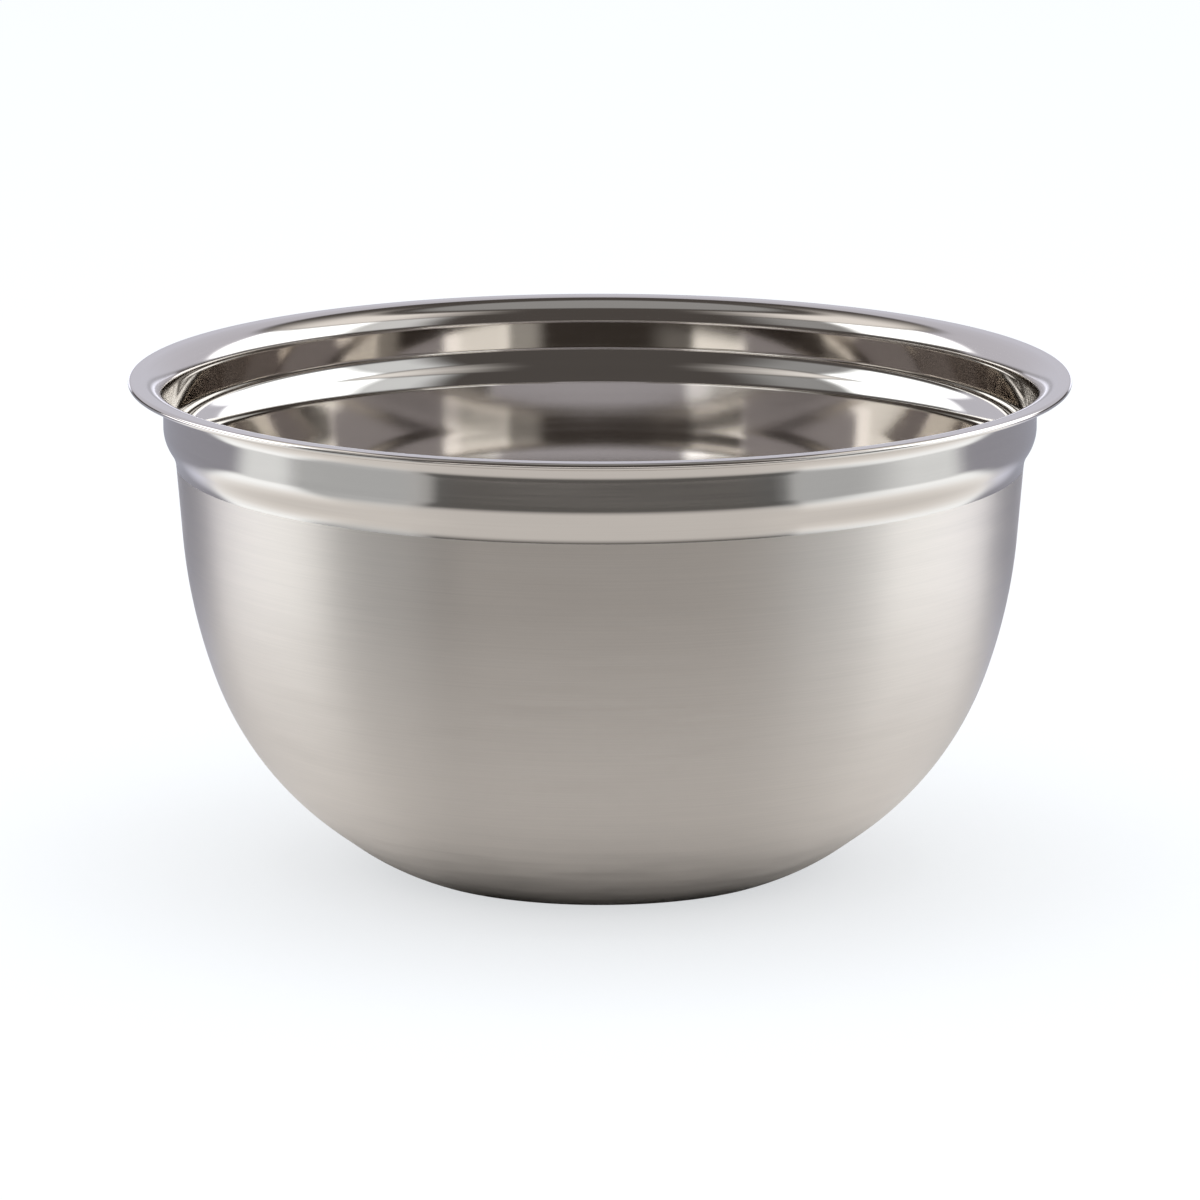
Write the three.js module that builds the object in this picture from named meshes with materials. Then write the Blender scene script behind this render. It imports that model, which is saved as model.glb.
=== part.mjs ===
// A mixing bowl drawn from one disc of stainless steel sheet.
// Millimetres, +Z up. The origin is the middle of the circle on which the bowl stands.
//
// The section is the middle line of the sheet, walked from the middle of the base out to the folded
// edge in straight runs and arcs. Half a sheet to either side of that line gives the two skins, and
// the closed section is turned about the bowl's axis.

import * as THREE from "three";

// Driving dimensions
const RIM_RADIUS = 130; // to the outside of the folded edge
const HEIGHT = 137.5; // from the table to the top of the rim
const SHEET = 0.7; // thickness of the steel
const COLLAR_RADIUS = 120.4; // outside of the upright band under the rim
const COLLAR_DEPTH = 13.5; // from the top of the rim to the foot of the upright band

// Rim
const RIM_BEND = 7; // bend from the collar into the flat rim, on the upper skin
const FOLD_GAP = 0.6; // air between the rim and the leg folded under it
const FOLD_LEG = 3.5; // flat length of that leg

// Shoulder under the collar, outer skin
const SHOULDER_RADIUS = 10.4;
const SHOULDER_LEAN = radians(34); // lean of the sheet from upright where the shoulder ends
const NECK_RADIUS = 10; // hollow bend from the shoulder back into the wall

// Wall, outer skin: leans from upright and radii, from the top down
const WALL_LEAN = radians(4.75); // straight upper part of the wall
const UPPER_RADIUS = 151;
const UPPER_LEAN = radians(19.8); // where the upper curve meets the lower one
const LOWER_RADIUS = 90;
const LOWER_LEAN = radians(53.7); // short straight run below the lower curve
const LOWER_STRAIGHT = 6;
const FOOT_RADIUS = 70;
const FOOT_LEAN = radians(69.3); // where the wall reaches the corner of the base

// Base
const CORNER_RADIUS = 3; // corner between wall and base, outer skin
const STANDING_WIDTH = 8; // flat ring that touches the table
const PANEL_LIFT = 1; // height of the middle panel above that ring
const PANEL_BEND = 5; // two bends that lift the panel, middle line

// Fineness of the facets
const FLATS_ROUND = 64; // flats round the bowl
const SAG = 0.12; // how far a flat may stray from its arc
const COARSEST_STEP = radians(45); // largest turn from one flat to the next in a tight bend

const UPRIGHT = radians(90);
const HALF_SHEET = SHEET / 2;

function radians(degrees) {
  return (degrees * Math.PI) / 180;
}

/** Walks along the sheet from the bowl's axis. A station is a point and the heading of the sheet. */
class Walk {
  constructor() {
    this.r = 0;
    this.z = 0;
    this.heading = 0;
    this.stations = [];
    this.mark();
  }

  mark() {
    this.stations.push({ r: this.r, z: this.z, heading: this.heading });
  }

  step(length) {
    this.r += length * Math.cos(this.heading);
    this.z += length * Math.sin(this.heading);
  }

  straight(length) {
    this.step(length);
    this.mark();
  }

  /** Turns through an angle on an arc. A positive angle turns upwards, to the left of the heading. */
  bend(radius, angle) {
    const largest = 2 * Math.acos(1 - Math.min(SAG / radius, 1));
    const count = Math.ceil(Math.abs(angle) / Math.min(largest, COARSEST_STEP));
    const turn = angle / count;
    for (let i = 0; i < count; i += 1) {
      this.heading += turn / 2;
      this.step(2 * radius * Math.sin(Math.abs(turn) / 2));
      this.heading += turn / 2;
      this.mark();
    }
  }
}

/**
 * The middle line of the sheet, for a middle panel and a straight wall of the given sizes.
 * A radius stated on the outer or upper skin is half a sheet smaller on the middle line where that
 * skin bulges, and half a sheet larger where it is hollow.
 */
function walkSheet(panelRadius, wallLength) {
  const walk = new Walk();
  const panelTurn = Math.acos(1 - PANEL_LIFT / (2 * PANEL_BEND));
  walk.straight(panelRadius);
  walk.bend(PANEL_BEND, -panelTurn);
  walk.bend(PANEL_BEND, panelTurn);
  walk.straight(STANDING_WIDTH);
  walk.bend(CORNER_RADIUS - HALF_SHEET, UPRIGHT - FOOT_LEAN);
  walk.bend(FOOT_RADIUS - HALF_SHEET, FOOT_LEAN - LOWER_LEAN);
  walk.straight(LOWER_STRAIGHT);
  walk.bend(LOWER_RADIUS - HALF_SHEET, LOWER_LEAN - UPPER_LEAN);
  walk.bend(UPPER_RADIUS - HALF_SHEET, UPPER_LEAN - WALL_LEAN);
  walk.straight(wallLength);
  walk.bend(NECK_RADIUS + HALF_SHEET, WALL_LEAN - SHOULDER_LEAN);
  walk.bend(SHOULDER_RADIUS - HALF_SHEET, SHOULDER_LEAN);
  const collarRadius = walk.r + HALF_SHEET;
  walk.straight(COLLAR_DEPTH - RIM_BEND);
  walk.bend(RIM_BEND - HALF_SHEET, -UPRIGHT);
  const foldRadius = (SHEET + FOLD_GAP) / 2;
  walk.straight(RIM_RADIUS - HALF_SHEET - foldRadius - walk.r);
  walk.bend(foldRadius, -2 * UPRIGHT);
  walk.straight(FOLD_LEG);
  return { stations: walk.stations, collarRadius };
}

/** The sheet whose straight wall gives the bowl its height, and whose panel gives its width. */
function fitSheet() {
  const trial = walkSheet(0, 0);
  const heights = trial.stations.map((station) => station.z);
  const rise = Math.max(...heights) - Math.min(...heights) + SHEET;
  const wallLength = (HEIGHT - rise) / Math.cos(WALL_LEAN);
  const wallReach = wallLength * Math.sin(WALL_LEAN);
  return walkSheet(COLLAR_RADIUS - trial.collarRadius - wallReach, wallLength).stations;
}

/** One skin of the sheet: every station moved sideways, to the right of its heading. */
function skin(stations, offset) {
  return stations.map(({ r, z, heading }) => {
    const across = heading - UPRIGHT;
    return new THREE.Vector2(r + offset * Math.cos(across), z + offset * Math.sin(across));
  });
}

/** The closed section: out along the outer skin, round the cut edge and back along the inner one. */
function section() {
  const stations = fitSheet();
  const outer = skin(stations, HALF_SHEET);
  const inner = skin(stations, -HALF_SHEET).reverse();
  const points = [...outer, ...inner];
  const table = Math.min(...points.map((point) => point.y));
  return points.map((point) => new THREE.Vector2(point.x, point.y - table));
}

function makeBowl() {
  const geometry = new THREE.LatheGeometry(section(), FLATS_ROUND);
  geometry.rotateX(Math.PI / 2);
  const steel = new THREE.MeshStandardMaterial({ color: 0xb9b2ac, roughness: 0.3, metalness: 1 });
  const bowl = new THREE.Mesh(geometry, steel);
  bowl.name = "bowl";
  return bowl;
}

const mixingBowl = new THREE.Group();
mixingBowl.add(makeBowl());

export default mixingBowl;
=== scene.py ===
"""A mixing bowl of stainless steel sheet on a pale studio floor.

The bowl is one pressed sheet: a brushed wall, a polished shoulder, collar and rim, a mirror inside,
and an edge folded under. Its section is walked along the middle line of the sheet, as in the CAD
model, but finely enough that the mirror surfaces reflect without facets. The steel reflects a
studio of its own, made of two cards that the camera doesn't see. Metres, +Z up.
"""

import math

import bpy
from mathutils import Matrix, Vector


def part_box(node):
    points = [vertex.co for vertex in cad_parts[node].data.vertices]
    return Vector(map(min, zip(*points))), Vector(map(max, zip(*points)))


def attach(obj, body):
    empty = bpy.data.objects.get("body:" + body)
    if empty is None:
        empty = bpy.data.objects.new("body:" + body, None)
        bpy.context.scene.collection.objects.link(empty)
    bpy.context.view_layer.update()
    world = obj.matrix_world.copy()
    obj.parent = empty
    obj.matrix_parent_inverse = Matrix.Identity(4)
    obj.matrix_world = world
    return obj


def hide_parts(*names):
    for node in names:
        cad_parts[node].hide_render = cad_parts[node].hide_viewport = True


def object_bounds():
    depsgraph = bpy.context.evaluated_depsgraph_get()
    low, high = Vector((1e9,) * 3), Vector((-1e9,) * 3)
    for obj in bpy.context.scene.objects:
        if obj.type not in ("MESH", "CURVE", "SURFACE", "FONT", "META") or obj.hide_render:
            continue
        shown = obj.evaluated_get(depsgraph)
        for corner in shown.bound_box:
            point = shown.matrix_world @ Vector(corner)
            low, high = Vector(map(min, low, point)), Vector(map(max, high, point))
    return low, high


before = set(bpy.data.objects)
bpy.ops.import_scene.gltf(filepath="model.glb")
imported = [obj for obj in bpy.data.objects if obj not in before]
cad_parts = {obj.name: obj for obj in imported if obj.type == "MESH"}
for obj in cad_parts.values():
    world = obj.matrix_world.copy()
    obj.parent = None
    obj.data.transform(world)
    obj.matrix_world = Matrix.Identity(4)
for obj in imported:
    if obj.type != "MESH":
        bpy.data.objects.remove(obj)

CAD_LOW, CAD_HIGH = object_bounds()
MM = 0.001

# ---------------------------------------------------------------------------------------------
# Sizes of the sheet, in millimetres, the same as the CAD model's
# ---------------------------------------------------------------------------------------------
NODE_LOW, NODE_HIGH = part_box("bowl")
RIM_RADIUS = (NODE_HIGH.x - NODE_LOW.x) / 2 / MM
HEIGHT = (NODE_HIGH.z - NODE_LOW.z) / MM
SHEET = 0.7
COLLAR_RADIUS = 120.4
COLLAR_DEPTH = 13.5
RIM_BEND = 7.0
FOLD_GAP = 0.6
FOLD_LEG = 3.5
SHOULDER_RADIUS = 10.4
SHOULDER_LEAN = math.radians(34.0)
NECK_RADIUS = 10.0
WALL_LEAN = math.radians(4.75)
UPPER_RADIUS = 151.0
UPPER_LEAN = math.radians(19.8)
LOWER_RADIUS = 90.0
LOWER_LEAN = math.radians(53.7)
LOWER_STRAIGHT = 6.0
FOOT_RADIUS = 70.0
FOOT_LEAN = math.radians(69.3)
CORNER_RADIUS = 3.0
STANDING_WIDTH = 8.0
PANEL_LIFT = 1.0
PANEL_BEND = 5.0

UPRIGHT = math.radians(90)
HALF_SHEET = SHEET / 2

# Fineness of the visual mesh: steps round the bowl, how far a step may stray from its arc, the
# largest turn in one step, and the longest step on a straight
AROUND = 320
SAG = 0.004
COARSEST_STEP = math.radians(15)
LONGEST_STRAIGHT = 8.0
# A length that stands for none in a trial walk, and the radius below which a point is on the axis
TRIAL_LENGTH = 1e-6
ON_AXIS = 1e-9

# Parts of the sheet, from the middle of the base to the folded edge
BASE, WALL, SHOULDER, COLLAR, RIM, FOLD = range(6)


# ---------------------------------------------------------------------------------------------
# The section
# ---------------------------------------------------------------------------------------------
class Walk:
    """Walks along the sheet from the bowl's axis. A station is r, z, heading, part and distance."""

    def __init__(self):
        self.r = 0.0
        self.z = 0.0
        self.heading = 0.0
        self.travelled = 0.0
        self.stations = [(0.0, 0.0, 0.0, BASE, 0.0)]

    def step(self, length):
        self.r += length * math.cos(self.heading)
        self.z += length * math.sin(self.heading)
        self.travelled += length

    def mark(self, part):
        self.stations.append((self.r, self.z, self.heading, part, self.travelled))

    def straight(self, length, part):
        count = max(1, math.ceil(length / LONGEST_STRAIGHT))
        for _ in range(count):
            self.step(length / count)
            self.mark(part)

    def bend(self, radius, angle, part):
        """Turns through an angle on an arc. A positive angle turns to the left of the heading."""
        largest = min(2 * math.acos(1 - SAG / radius), COARSEST_STEP)
        count = math.ceil(abs(angle) / largest)
        turn = angle / count
        for _ in range(count):
            self.heading += turn / 2
            self.step(2 * radius * math.sin(abs(turn) / 2))
            self.heading += turn / 2
            self.mark(part)


def walk_sheet(panel_radius, wall_length):
    """The stations along the sheet, and the outer radius of the collar they lead to.

    A radius stated on the outer or upper skin is half a sheet smaller on the middle line where
    that skin bulges, and half a sheet larger where it is hollow.
    """
    walk = Walk()
    panel_turn = math.acos(1 - PANEL_LIFT / (2 * PANEL_BEND))
    walk.straight(panel_radius, BASE)
    walk.bend(PANEL_BEND, -panel_turn, BASE)
    walk.bend(PANEL_BEND, panel_turn, BASE)
    walk.straight(STANDING_WIDTH, BASE)
    walk.bend(CORNER_RADIUS - HALF_SHEET, UPRIGHT - FOOT_LEAN, WALL)
    walk.bend(FOOT_RADIUS - HALF_SHEET, FOOT_LEAN - LOWER_LEAN, WALL)
    walk.straight(LOWER_STRAIGHT, WALL)
    walk.bend(LOWER_RADIUS - HALF_SHEET, LOWER_LEAN - UPPER_LEAN, WALL)
    walk.bend(UPPER_RADIUS - HALF_SHEET, UPPER_LEAN - WALL_LEAN, WALL)
    walk.straight(wall_length, WALL)
    walk.bend(NECK_RADIUS + HALF_SHEET, WALL_LEAN - SHOULDER_LEAN, SHOULDER)
    walk.bend(SHOULDER_RADIUS - HALF_SHEET, SHOULDER_LEAN, SHOULDER)
    collar_radius = walk.r + HALF_SHEET
    walk.straight(COLLAR_DEPTH - RIM_BEND, COLLAR)
    walk.bend(RIM_BEND - HALF_SHEET, -UPRIGHT, RIM)
    fold_radius = (SHEET + FOLD_GAP) / 2
    walk.straight(RIM_RADIUS - HALF_SHEET - fold_radius - walk.r, RIM)
    walk.bend(fold_radius, -2 * UPRIGHT, FOLD)
    walk.straight(FOLD_LEG, FOLD)
    return walk.stations, collar_radius


def fit_sheet():
    """The sheet whose straight wall gives the bowl its height, and whose panel gives its width."""
    trial, collar_radius = walk_sheet(TRIAL_LENGTH, TRIAL_LENGTH)
    heights = [station[1] for station in trial]
    rise = max(heights) - min(heights) + SHEET
    wall_length = (HEIGHT - rise) / math.cos(WALL_LEAN)
    wall_reach = wall_length * math.sin(WALL_LEAN)
    stations, _ = walk_sheet(COLLAR_RADIUS - collar_radius - wall_reach, wall_length)
    return stations


def skin(stations, side):
    """One skin of the sheet, side +1 outside and -1 inside: rows of point, normal, part, distance."""
    rows = []
    for r, z, heading, part, travelled in stations:
        normal = (side * math.sin(heading), -side * math.cos(heading))
        reach = max(r + HALF_SHEET * normal[0], 0.0)
        rows.append(((reach, z + HALF_SHEET * normal[1]), normal, part, travelled))
    return rows


# ---------------------------------------------------------------------------------------------
# The mesh
# ---------------------------------------------------------------------------------------------
# In the order in which make_bowl adds them
MATERIAL_NAMES = ["satin", "polished", "mirror", "underside"]
OUTSIDE = {BASE: "underside", WALL: "satin", SHOULDER: "polished", COLLAR: "polished",
           RIM: "polished", FOLD: "polished"}
INSIDE = {BASE: "mirror", WALL: "mirror", SHOULDER: "mirror", COLLAR: "mirror",
          RIM: "polished", FOLD: "polished"}


def section_strips():
    """The closed section as strips between neighbouring points, each with its own end normals."""
    stations = fit_sheet()
    outer = skin(stations, 1)
    inner = skin(stations, -1)
    table = min(point[1] for point, *_ in outer + inner)
    points = []
    strips = []

    def add(row):
        (r, z), *_ = row
        points.append((r, z - table))
        return len(points) - 1

    outer_ids = [add(row) for row in outer]
    inner_ids = [add(row) for row in inner]
    for rows, ids, finish in ((outer, outer_ids, OUTSIDE), (inner, inner_ids, INSIDE)):
        for i in range(len(rows) - 1):
            start, end = rows[i], rows[i + 1]
            strip = (ids[i], ids[i + 1], start[1], end[1], finish[end[2]], finish is OUTSIDE)
            strips.append(strip)
    heading = stations[-1][2]
    cut = (math.cos(heading), math.sin(heading))
    strips.append((outer_ids[-1], inner_ids[-1], cut, cut, "polished", True))
    distances = [row[3] for row in outer] + [row[3] for row in inner]
    return points, strips, distances


def bowl_mesh():
    """Turns the section about the axis, with exact normals on every corner. The mesh's "along"
    is the distance from the axis along the sheet, in metres."""
    points, strips, distances = section_strips()
    angles = [2 * math.pi * k / AROUND for k in range(AROUND)]
    vertices = []
    along = []
    first = []
    for (r, z), distance in zip(points, distances):
        first.append(len(vertices))
        if r < ON_AXIS:
            vertices.append((0.0, 0.0, z * MM))
            along.append(distance * MM)
            continue
        for angle in angles:
            vertices.append((r * math.cos(angle) * MM, r * math.sin(angle) * MM, z * MM))
            along.append(distance * MM)

    def vertex(point, k):
        return first[point] + (0 if points[point][0] < ON_AXIS else k % AROUND)

    faces = []
    corners = []
    finishes = []
    for a, b, normal_a, normal_b, finish, outward in strips:
        for k in range(AROUND):
            ring = [(a, k, normal_a), (a, k + 1, normal_a), (b, k + 1, normal_b), (b, k, normal_b)]
            if points[a][0] < ON_AXIS:
                ring.pop(1)
            if not outward:
                ring.reverse()
            faces.append([vertex(point, turn) for point, turn, _ in ring])
            for _, turn, normal in ring:
                angle = angles[turn % AROUND]
                corners.append((normal[0] * math.cos(angle), normal[0] * math.sin(angle), normal[1]))
            finishes.append(MATERIAL_NAMES.index(finish))

    mesh = bpy.data.meshes.new("bowl_steel")
    mesh.from_pydata(vertices, [], faces)
    mesh.polygons.foreach_set("material_index", finishes)
    mesh.polygons.foreach_set("use_smooth", [True] * len(faces))
    attribute = mesh.attributes.new("along", "FLOAT", "POINT")
    attribute.data.foreach_set("value", along)
    mesh.update()
    mesh.normals_split_custom_set(corners)
    mesh.validate(clean_customdata=False)
    return mesh


# ---------------------------------------------------------------------------------------------
# Materials
# ---------------------------------------------------------------------------------------------
SATIN_STEEL = (0.65, 0.61, 0.57)
# A lighter copy of the steel colour, used on the mirror inside: painted light that brightens the
# reflections there, for the whole sheet is the same steel
LIGHTENED_MIRROR_STEEL = (0.665, 0.635, 0.6)

# The lines on the steel are a fine noise and a broad one, both stretched round the axis
FINE_SHARE = 0.6
BROAD_SHARE = 0.4
BROAD_WIDTH = 12
BROAD_WAVER = 1.5
FINE_DETAIL = 3.0
BROAD_DETAIL = 2.0
LINE_BUMP = 0.5
# The middle of a noise, which is spread over a whole range of roughness or tint
NOISE_LOW = 0.3
NOISE_HIGH = 0.7
# A quarter turn of the shader's stretched highlights
HIGHLIGHT_TURN = 0.25


class Nodes:
    """Adds and links the nodes of one steel material, all driven by the lines spun on it."""

    def __init__(self, name):
        self.material = bpy.data.materials.new(name)
        self.material.use_nodes = True
        self.tree = self.material.node_tree
        self.shader = self.tree.nodes["Principled BSDF"]

    def add(self, kind, **settings):
        node = self.tree.nodes.new(kind)
        for key, value in settings.items():
            setattr(node, key, value)
        return node

    def link(self, output, socket):
        self.tree.links.new(output, socket)

    def math(self, operation, first, second):
        node = self.add("ShaderNodeMath", operation=operation)
        self.link(first, node.inputs[0])
        if isinstance(second, float):
            node.inputs[1].default_value = second
        else:
            self.link(second, node.inputs[1])
        return node.outputs[0]

    def round_the_axis(self, across, around):
        """A vector that changes fast along the section and slowly round the bowl."""
        position = self.add("ShaderNodeTexCoord")
        flat = self.add("ShaderNodeVectorMath", operation="MULTIPLY")
        flat.inputs[1].default_value = (1.0, 1.0, 0.0)
        unit = self.add("ShaderNodeVectorMath", operation="NORMALIZE")
        wide = self.add("ShaderNodeVectorMath", operation="SCALE")
        wide.inputs["Scale"].default_value = around
        parted = self.add("ShaderNodeSeparateXYZ")
        joined = self.add("ShaderNodeCombineXYZ")
        along = self.add("ShaderNodeAttribute", attribute_name="along")
        self.link(position.outputs["Object"], flat.inputs[0])
        self.link(flat.outputs[0], unit.inputs[0])
        self.link(unit.outputs[0], wide.inputs[0])
        self.link(wide.outputs[0], parted.inputs[0])
        self.link(parted.outputs["X"], joined.inputs["X"])
        self.link(parted.outputs["Y"], joined.inputs["Y"])
        self.link(self.math("MULTIPLY", along.outputs["Fac"], across), joined.inputs["Z"])
        return joined.outputs[0]

    def noise(self, vector, detail):
        node = self.add("ShaderNodeTexNoise")
        node.inputs["Scale"].default_value = 1.0
        node.inputs["Detail"].default_value = detail
        self.link(vector, node.inputs["Vector"])
        return node.outputs[0]

    def spread(self, value, low, high):
        """Maps the middle of a noise onto a range."""
        node = self.add("ShaderNodeMapRange")
        node.inputs["From Min"].default_value = NOISE_LOW
        node.inputs["From Max"].default_value = NOISE_HIGH
        node.inputs["To Min"].default_value = low
        node.inputs["To Max"].default_value = high
        self.link(value, node.inputs["Value"])
        return node.outputs["Result"]

    def bump(self, height, depth):
        node = self.add("ShaderNodeBump")
        node.inputs["Strength"].default_value = LINE_BUMP
        node.inputs["Distance"].default_value = depth
        self.link(height, node.inputs["Height"])
        self.link(node.outputs[0], self.shader.inputs["Normal"])

    def colour(self, value, colour, darkest, lightest):
        """Varies the steel's colour between two shades of it."""
        blend = self.add("ShaderNodeMix", data_type="RGBA")
        self.link(value, blend.inputs["Factor"])
        ends = [socket for socket in blend.inputs if socket.type == "RGBA"]
        for socket, shade in zip(ends, (darkest, lightest)):
            socket.default_value = (*(channel * shade for channel in colour), 1.0)
        result = [socket for socket in blend.outputs if socket.type == "RGBA"][0]
        self.link(result, self.shader.inputs["Base Color"])


def steel(name, colour, anisotropy, across, around, roughness, tint, depth):
    """Steel with lines spun round the axis: lines per metre across them, their waver round the
    bowl, the range of roughness and of tint between them, and the depth of the lines in metres."""
    nodes = Nodes(name)
    nodes.shader.inputs["Metallic"].default_value = 1.0
    nodes.shader.inputs["Anisotropic"].default_value = anisotropy
    nodes.shader.inputs["Anisotropic Rotation"].default_value = HIGHLIGHT_TURN
    fine = nodes.noise(nodes.round_the_axis(across, around), FINE_DETAIL)
    broad = nodes.noise(
        nodes.round_the_axis(across / BROAD_WIDTH, around * BROAD_WAVER), BROAD_DETAIL)
    fine_part = nodes.math("MULTIPLY", fine, FINE_SHARE)
    broad_part = nodes.math("MULTIPLY", broad, BROAD_SHARE)
    lines = nodes.math("ADD", fine_part, broad_part)
    nodes.link(nodes.spread(lines, *roughness), nodes.shader.inputs["Roughness"])
    nodes.colour(nodes.spread(lines, 0.0, 1.0), colour, *tint)
    nodes.bump(fine, depth)
    return nodes.material


def satin_steel():
    return steel("satin", SATIN_STEEL, anisotropy=0.9, across=3000.0, around=2.5,
                 roughness=(0.36, 0.48), tint=(0.93, 1.04), depth=10e-6)


def polished_steel():
    return steel("polished", SATIN_STEEL, anisotropy=0.0, across=1500.0, around=2.0,
                 roughness=(0.06, 0.11), tint=(0.98, 1.02), depth=1e-6)


def mirror_steel():
    # The lighter copy of the steel colour is painted light, which brightens the reflections inside
    return steel("mirror", LIGHTENED_MIRROR_STEEL, anisotropy=0.0, across=500.0, around=1.5,
                 roughness=(0.03, 0.07), tint=(0.98, 1.02), depth=0.6e-6)


def underside_steel():
    return steel("underside", SATIN_STEEL, anisotropy=0.6, across=1500.0, around=6.0,
                 roughness=(0.25, 0.45), tint=(0.85, 1.0), depth=8e-6)


def make_bowl():
    bowl = bpy.data.objects.new("bowl_steel", bowl_mesh())
    bpy.context.scene.collection.objects.link(bowl)
    for make_steel in (satin_steel, polished_steel, mirror_steel, underside_steel):
        bowl.data.materials.append(make_steel())
    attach(bowl, "root")
    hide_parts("bowl")


# ---------------------------------------------------------------------------------------------
# Studio that the steel reflects. Degrees and metres. Azimuth 0 is in front of the bowl, 90 at the
# right of the picture and 180 behind it.
# ---------------------------------------------------------------------------------------------
WARM_WHITE = (1.02, 1.0, 0.98)
COOL_WHITE = (0.95, 1.0, 1.04)
LAVENDER = (0.98, 1.0, 1.16)
DUSK = (1.1, 1.0, 0.95)

# Panels above the table: middle azimuth, half its width, softness of its ends, lowest and highest
# elevation, colour and strength. Between them the surround is dark.
PANELS = [
    (5, 44, 5, -10, 5, WARM_WHITE, 1.7),
    (103, 23, 6, -10, 5, WARM_WHITE, 2.9),
    (104, 28, 8, 12, 44, COOL_WHITE, 2.3),
    (64, 14, 16, 12, 44, COOL_WHITE, 0.8),
    (95, 40, 60, 46, 62, WARM_WHITE, 1.0),
    (259, 25, 6, -10, 5, WARM_WHITE, 3.0),
    (260, 22, 9, 16, 44, COOL_WHITE, 2.6),
    (296, 16, 24, 16, 44, COOL_WHITE, 0.3),
    (262, 42, 60, 46, 62, WARM_WHITE, 1.0),
    (180, 25, 6, -10, 8, LAVENDER, 1.2),
    (180, 62, 8, 10, 44, LAVENDER, 0.6),
    (0, 200, 10, 68, 95, COOL_WHITE, 0.3),
]
PANEL_SOFTNESS = 5
DARK_STRENGTH = 0.09

# Strengths of the table's light: close to the bowl, in the dark wedge in front of it, beside that
# wedge, and behind the bowl
TABLE_NEAR = 0.74
TABLE_DARK = 0.14
TABLE_BESIDE = 0.6
TABLE_BEHIND = 0.38
DARK_WEDGE = (-41, 46)
WEDGE_SOFTNESS = 5
# Pools of softbox light at the sides: side, middle and softness of the front edge, and strength
POOLS = [(-1, -0.10, 0.10, 1.05), (1, -0.20, 0.28, 1.0)]
POOL_BACK = 0.14
POOL_BACK_SOFTNESS = 0.12

# Where the table's light changes: the start and width of each soft step, from the axis outwards
SHADE_ENDS = (0.055, 0.05)
NEAR_ENDS = (0.26, 0.15)
COOL_STARTS = (0.2, 0.2)
HORIZON_STARTS = (0.85, 0.5)
# The same for steps that run backwards from the axis, and for the last, sideways
DIM_STARTS = (0.05, 0.1)
LAVENDER_STARTS = (0.1, 0.12)
POOL_STARTS = (0.1, 0.1)
# Sideways share of a direction, and how much brighter the table close to the bowl is there
SIDE_STARTS = (0.5, 0.3)
SIDE_GAIN = 0.12
# A brighter ring round the bowl: its edges and their softness, the strengths of the far table
# over which it appears (start and width), and how much brighter it is
RING = (0.25, 0.53, 0.15)
RING_APPEARS = (0.5, 0.4)
RING_GAIN = 0.4

# Rows and columns of the two cards that carry this light
SURROUND_RADIUS = 2.0
SURROUND_STEP = 1.5
SURROUND_ROWS = 60
SURROUND_TOP = 89.9
TABLE_INNER_RADIUS = 0.054
TABLE_STEPS = 60
TABLE_LEVEL = 0.0003
CARD_COLUMNS = 120


def ramp(value, start, width):
    """Rises smoothly from 0 at the start to 1 a width further on."""
    share = min(max((value - start) / width, 0.0), 1.0)
    return share * share * (3 - 2 * share)


def between(value, low, high, soft):
    """1 between two edges and 0 beyond them, with soft edges."""
    return ramp(value, low - soft / 2, soft) * (1 - ramp(value, high - soft / 2, soft))


def mix(first, second, share):
    return first + (second - first) * share


def on_surround(azimuth, elevation):
    turn = math.radians(azimuth)
    tilt = math.radians(elevation)
    reach = SURROUND_RADIUS * math.cos(tilt)
    return (reach * math.sin(turn), -reach * math.cos(turn), SURROUND_RADIUS * math.sin(tilt))


def on_table(azimuth, radius):
    turn = math.radians(azimuth)
    return (radius * math.sin(turn), -radius * math.cos(turn), TABLE_LEVEL)


def surround_glow(azimuth, elevation):
    """The light that comes from one direction above the table."""
    glow = [DARK_STRENGTH * channel for channel in DUSK]
    for middle, half, soft, low, high, colour, strength in PANELS:
        aside = abs((azimuth - middle + 180) % 360 - 180)
        share = between(aside, -half, half, soft) * between(elevation, low, high, PANEL_SOFTNESS)
        glow = [old + strength * channel * share for old, channel in zip(glow, colour)]
    return glow


def far_table(azimuth, x, y):
    """The strength of the table well away from the bowl."""
    signed = (azimuth + 180) % 360 - 180
    strength = mix(TABLE_BESIDE, TABLE_DARK, between(signed, *DARK_WEDGE, WEDGE_SOFTNESS))
    strength = mix(strength, TABLE_BEHIND, ramp(y, *DIM_STARTS))
    behind_pool = ramp(y, POOL_BACK - POOL_BACK_SOFTNESS / 2, POOL_BACK_SOFTNESS)
    for side, front, soft, pool in POOLS:
        share = ramp(y, front - soft / 2, soft) * (1 - behind_pool) * ramp(side * x, *POOL_STARTS)
        strength = mix(strength, pool, share)
    return strength


def table_strength(azimuth, radius, sideways):
    """The table's light: shaded under the bowl, pale close to it, then dark in front and bright
    in the pools at the sides, and at last the same as the panels on the horizon."""
    x, y, _ = on_table(azimuth, radius)
    near = TABLE_NEAR * (1 + SIDE_GAIN * sideways)
    far = far_table(azimuth, x, y)
    strength = mix(near, far, ramp(radius, *NEAR_ENDS))
    strength *= 1 + RING_GAIN * between(radius, *RING) * ramp(far, *RING_APPEARS)
    horizon = max(surround_glow(azimuth, 0.0))
    return ramp(radius, *SHADE_ENDS) * mix(strength, horizon, ramp(radius, *HORIZON_STARTS))


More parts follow.
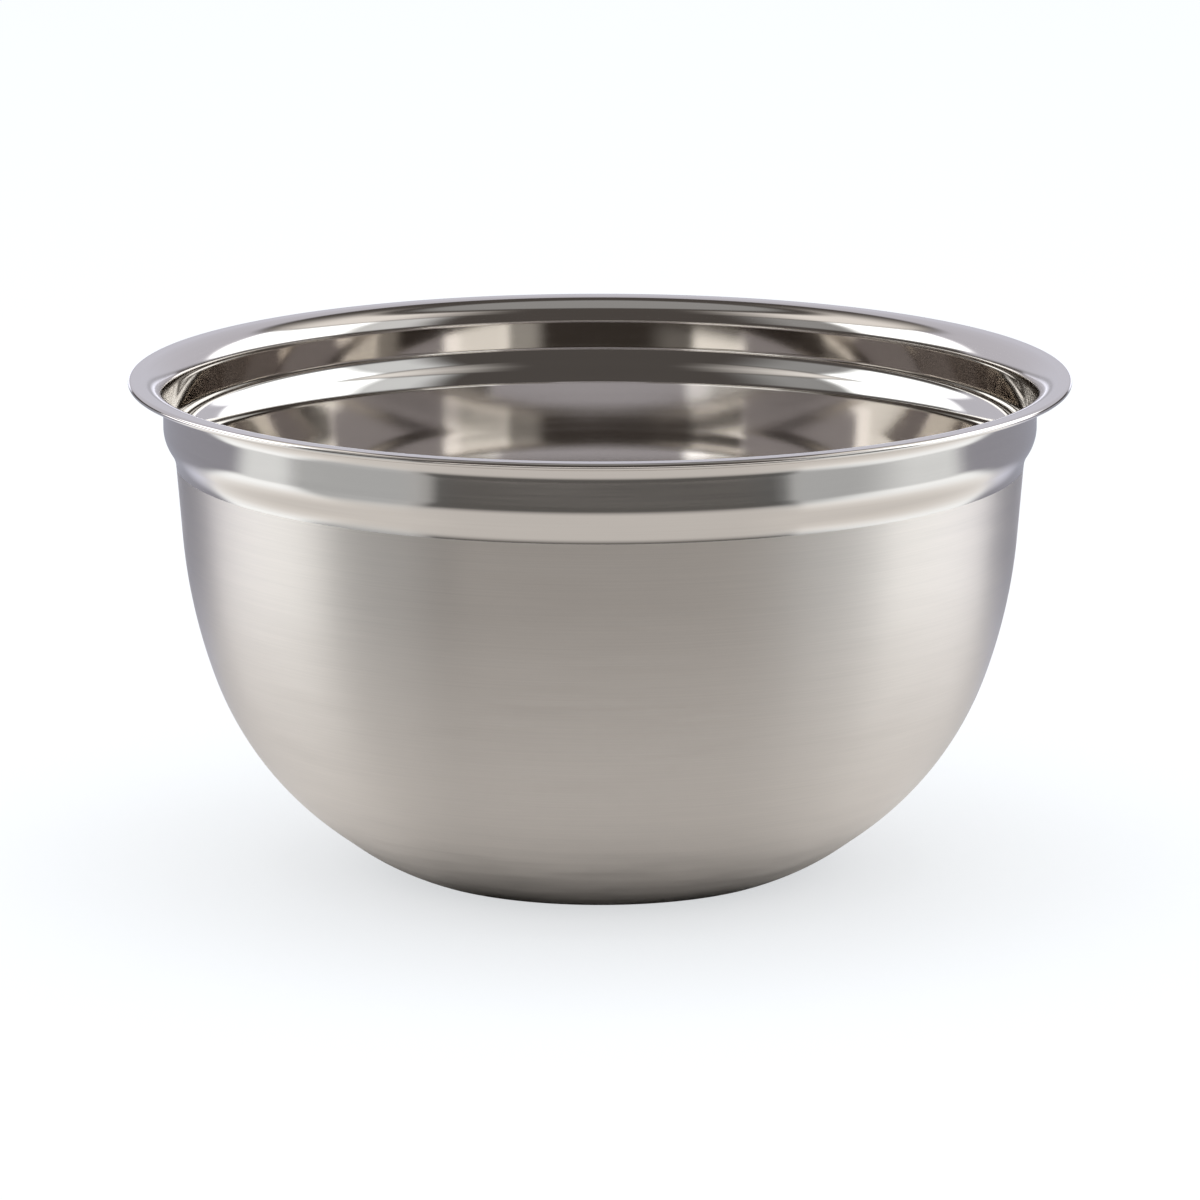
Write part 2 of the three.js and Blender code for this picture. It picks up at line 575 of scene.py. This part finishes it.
def table_glow(azimuth, radius):
    """The light that the table sends up to the steel: warm in front, cool at the sides and
    lavender behind."""
    x, y, _ = on_table(azimuth, radius)
    sideways = ramp(abs(x) / radius, *SIDE_STARTS)
    strength = table_strength(azimuth, radius, sideways)
    cooler = sideways * ramp(radius, *COOL_STARTS)
    behind = ramp(y, *LAVENDER_STARTS)
    tints = zip(WARM_WHITE, COOL_WHITE, LAVENDER)
    return [strength * mix(mix(warm, cool, cooler), back, behind) for warm, cool, back in tints]


def glowing_material(name):
    """A material that shines with the mesh's own colours."""
    material = bpy.data.materials.new(name)
    material.use_nodes = True
    tree = material.node_tree
    tree.nodes.clear()
    attribute = tree.nodes.new("ShaderNodeAttribute")
    attribute.attribute_name = "glow"
    emission = tree.nodes.new("ShaderNodeEmission")
    output = tree.nodes.new("ShaderNodeOutputMaterial")
    tree.links.new(attribute.outputs["Color"], emission.inputs["Color"])
    tree.links.new(emission.outputs[0], output.inputs["Surface"])
    material.cycles.emission_sampling = "NONE"
    return material


def card_mesh(name, rows, place, glow):
    """A surface ruled by azimuth and by the given rows, with a colour at every crossing."""
    azimuths = [360 * k / CARD_COLUMNS for k in range(CARD_COLUMNS)]
    vertices = [place(azimuth, row) for row in rows for azimuth in azimuths]
    glows = [(*glow(azimuth, row), 1.0) for row in rows for azimuth in azimuths]
    faces = []
    for i in range(len(rows) - 1):
        low = i * CARD_COLUMNS
        high = low + CARD_COLUMNS
        for k in range(CARD_COLUMNS):
            after = (k + 1) % CARD_COLUMNS
            faces.append((low + k, low + after, high + after, high + k))
    mesh = bpy.data.meshes.new(name)
    mesh.from_pydata(vertices, [], faces)
    attribute = mesh.attributes.new("glow", "FLOAT_COLOR", "POINT")
    for item, value in zip(attribute.data, glows):
        item.color = value
    return mesh


def glowing_card(name, rows, place, glow):
    """A card of the studio that only the steel sees."""
    mesh = card_mesh(name, rows, place, glow)
    mesh.materials.append(glowing_material(name))
    card = bpy.data.objects.new(name, mesh)
    bpy.context.scene.collection.objects.link(card)
    card.visible_camera = False
    card.visible_diffuse = False
    card.visible_shadow = False


def make_reflected_studio():
    elevations = [SURROUND_STEP * k for k in range(SURROUND_ROWS)] + [SURROUND_TOP]
    glowing_card("surround", elevations, on_surround, surround_glow)
    growth = SURROUND_RADIUS / TABLE_INNER_RADIUS
    radii = [TABLE_INNER_RADIUS * growth ** (k / TABLE_STEPS) for k in range(TABLE_STEPS + 1)]
    glowing_card("table_light", radii, on_table, table_glow)


# ---------------------------------------------------------------------------------------------
# Floor and lights that the camera sees. The steel doesn't reflect them.
# ---------------------------------------------------------------------------------------------
FLOOR_HALF = 6.0
FLOOR_LEVEL = -0.0002
FLOOR_COLOUR = (0.33, 0.34, 0.35, 1.0)
FLOOR_ROUGHNESS = 0.9
FLOOR_GLOW = (0.97, 0.985, 1.0, 1.0)
FLOOR_GLOW_STRENGTH = 0.65
TOP_LIGHT_SIZE = 1.6
TOP_LIGHT_WATTS = 14
TOP_LIGHT_HEIGHT = 2.0
WORLD_COLOUR = (0.95, 0.975, 1.0, 1.0)
WORLD_STRENGTH = 0.95


def floor_material():
    """A matt floor with some light of its own, so that it stays pale."""
    material = bpy.data.materials.new("floor")
    material.use_nodes = True
    shader = material.node_tree.nodes["Principled BSDF"]
    shader.inputs["Base Color"].default_value = FLOOR_COLOUR
    shader.inputs["Roughness"].default_value = FLOOR_ROUGHNESS
    shader.inputs["Specular IOR Level"].default_value = 0.0
    shader.inputs["Emission Color"].default_value = FLOOR_GLOW
    shader.inputs["Emission Strength"].default_value = FLOOR_GLOW_STRENGTH
    return material


def make_floor():
    """The floor lies just under the table plane, so that it doesn't cut the standing ring."""
    corners = [(-1, -1), (1, -1), (1, 1), (-1, 1)]
    vertices = [(x * FLOOR_HALF, y * FLOOR_HALF, FLOOR_LEVEL) for x, y in corners]
    mesh = bpy.data.meshes.new("floor")
    mesh.from_pydata(vertices, [], [(0, 1, 2, 3)])
    mesh.materials.append(floor_material())
    floor = bpy.data.objects.new("floor", mesh)
    bpy.context.scene.collection.objects.link(floor)
    floor.visible_glossy = False


def make_top_light():
    data = bpy.data.lights.new("top_light", "AREA")
    data.shape = "SQUARE"
    data.size = TOP_LIGHT_SIZE
    data.energy = TOP_LIGHT_WATTS
    light = bpy.data.objects.new("top_light", data)
    bpy.context.scene.collection.objects.link(light)
    light.location = (0, 0, TOP_LIGHT_HEIGHT)
    light.visible_glossy = False


def make_world():
    """Pale light from all round, which the floor receives and the steel doesn't reflect."""
    world = bpy.data.worlds.new("studio")
    bpy.context.scene.world = world
    world.use_nodes = True
    background = world.node_tree.nodes["Background"]
    background.inputs["Color"].default_value = WORLD_COLOUR
    background.inputs["Strength"].default_value = WORLD_STRENGTH
    world.cycles_visibility.glossy = False


# ---------------------------------------------------------------------------------------------
# Camera and picture. The camera looks at the bowl from in front and a little above.
# ---------------------------------------------------------------------------------------------
CAMERA_DISTANCE = 2.6
CAMERA_ELEVATION = math.radians(10.43)
CAMERA_PITCH = math.radians(11.80)
CAMERA_FIELD = math.radians(7.282)
LIGHT_BOUNCES = 24


def make_camera():
    data = bpy.data.cameras.new("camera")
    data.sensor_width = 36.0
    data.angle = CAMERA_FIELD
    data.clip_start = 0.1
    data.clip_end = 50.0
    camera = bpy.data.objects.new("camera", data)
    bpy.context.scene.collection.objects.link(camera)
    back = CAMERA_DISTANCE * math.cos(CAMERA_ELEVATION)
    up = CAD_HIGH.z + CAMERA_DISTANCE * math.sin(CAMERA_ELEVATION)
    camera.location = (0, -back, up)
    camera.rotation_euler = (UPRIGHT - CAMERA_PITCH, 0, 0)
    bpy.context.scene.camera = camera


def set_colour():
    view = bpy.context.scene.view_settings
    view.view_transform = "Standard"
    view.look = "None"


def set_bounces():
    """The light that grazes round the inside is reflected many times before it leaves."""
    cycles = bpy.context.scene.cycles
    cycles.max_bounces = LIGHT_BOUNCES
    cycles.glossy_bounces = LIGHT_BOUNCES


make_camera()
make_world()
make_reflected_studio()
make_floor()
make_top_light()
make_bowl()
set_colour()
set_bounces()
